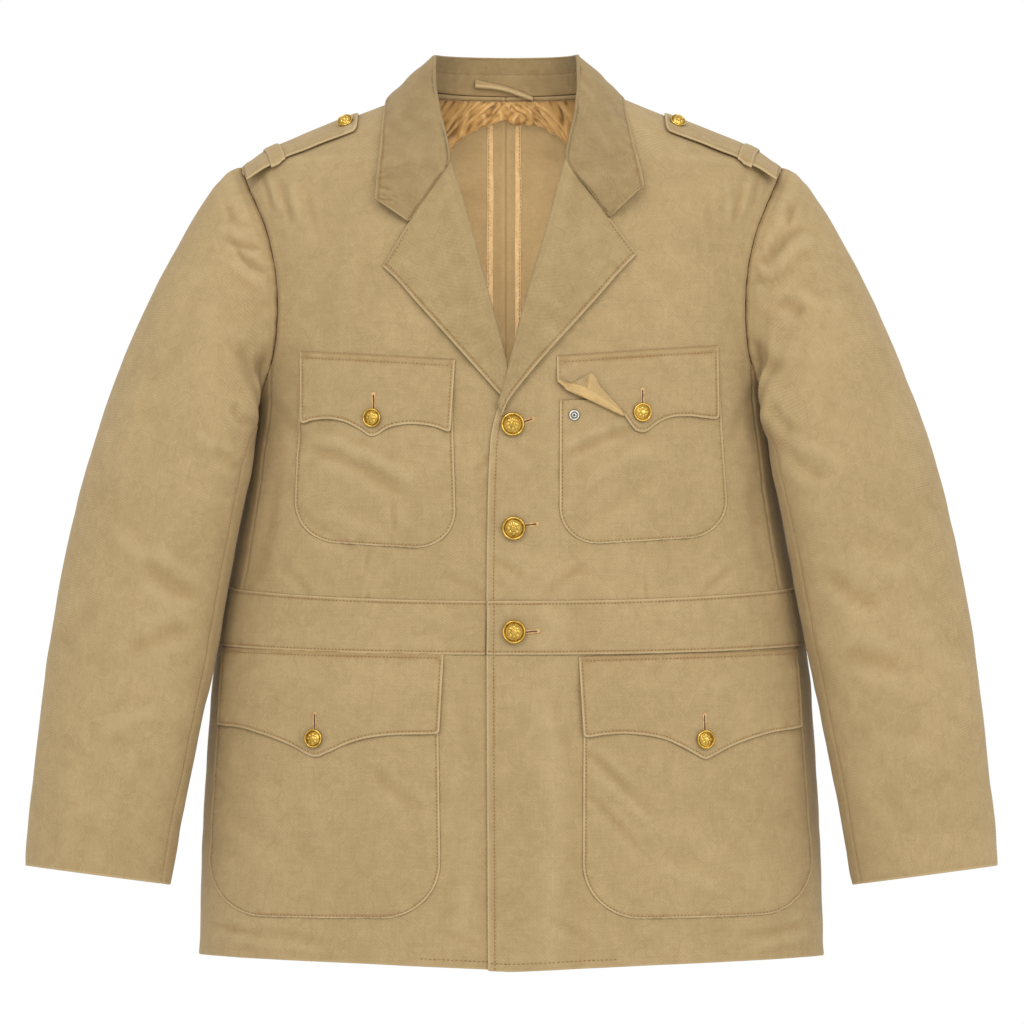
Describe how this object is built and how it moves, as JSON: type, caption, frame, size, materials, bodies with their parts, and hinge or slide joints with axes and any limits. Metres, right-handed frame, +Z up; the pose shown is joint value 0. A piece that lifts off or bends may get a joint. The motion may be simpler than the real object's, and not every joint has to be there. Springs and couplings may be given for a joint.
{
  "type": "dress uniform jacket",
  "caption": "Khaki cotton dress uniform jacket with notched collar, flapped patch pockets, shoulder straps, sewn-on belt and gold buttons, filled out and hollow.",
  "frame": {"origin": "middle of the line between the two shoulder neck points, where the wearer's shoulders hold the jacket", "axes": "+X to the wearer's left, +Y to the back, +Z up; the front faces -Y"},
  "size_m": [0.8216, 0.2486, 0.7774],
  "materials": {
    "khaki_cotton": "matt cotton twill",
    "satin_lining": "soft satin",
    "brass": "polished and slightly tarnished",
    "nickel": "dull nickel plate"
  },
  "bodies": {
    "root": {"front_right": "khaki_cotton", "front_left": "khaki_cotton", "back_right": "khaki_cotton", "back_left": "khaki_cotton", "side_right": "khaki_cotton", "side_left": "khaki_cotton", "skirt_front_right": "khaki_cotton", "skirt_front_left": "khaki_cotton", "skirt_back": "khaki_cotton", "belt_front_right": "khaki_cotton", "belt_front_left": "khaki_cotton", "belt_back": "khaki_cotton", "sleeve_top_right": "khaki_cotton", "sleeve_top_left": "khaki_cotton", "sleeve_under_right": "khaki_cotton", "sleeve_under_left": "khaki_cotton", "lapel_right": "khaki_cotton", "lapel_left": "khaki_cotton", "collar_fall": "khaki_cotton", "collar_stand": "khaki_cotton", "chest_pocket_right": "khaki_cotton", "chest_pocket_left": "khaki_cotton", "hip_pocket_right": "khaki_cotton", "hip_pocket_left": "khaki_cotton", "chest_flap_right": "khaki_cotton", "chest_flap_left": "khaki_cotton", "hip_flap_right": "khaki_cotton", "hip_flap_left": "khaki_cotton", "epaulette_right": "khaki_cotton", "epaulette_left": "khaki_cotton", "epaulette_loop_right": "khaki_cotton", "epaulette_loop_left": "khaki_cotton", "hanger_loop": "khaki_cotton", "neck_lining": "satin_lining", "seam_binding_right": "satin_lining", "seam_binding_left": "satin_lining", "button_front_1": "brass", "button_front_2": "brass", "button_front_3": "brass", "button_chest_right": "brass", "button_chest_left": "brass", "button_hip_right": "brass", "button_hip_left": "brass", "button_epaulette_right": "brass", "button_epaulette_left": "brass", "pocket_eyelet": "nickel"}
  },
  "joints": []
}
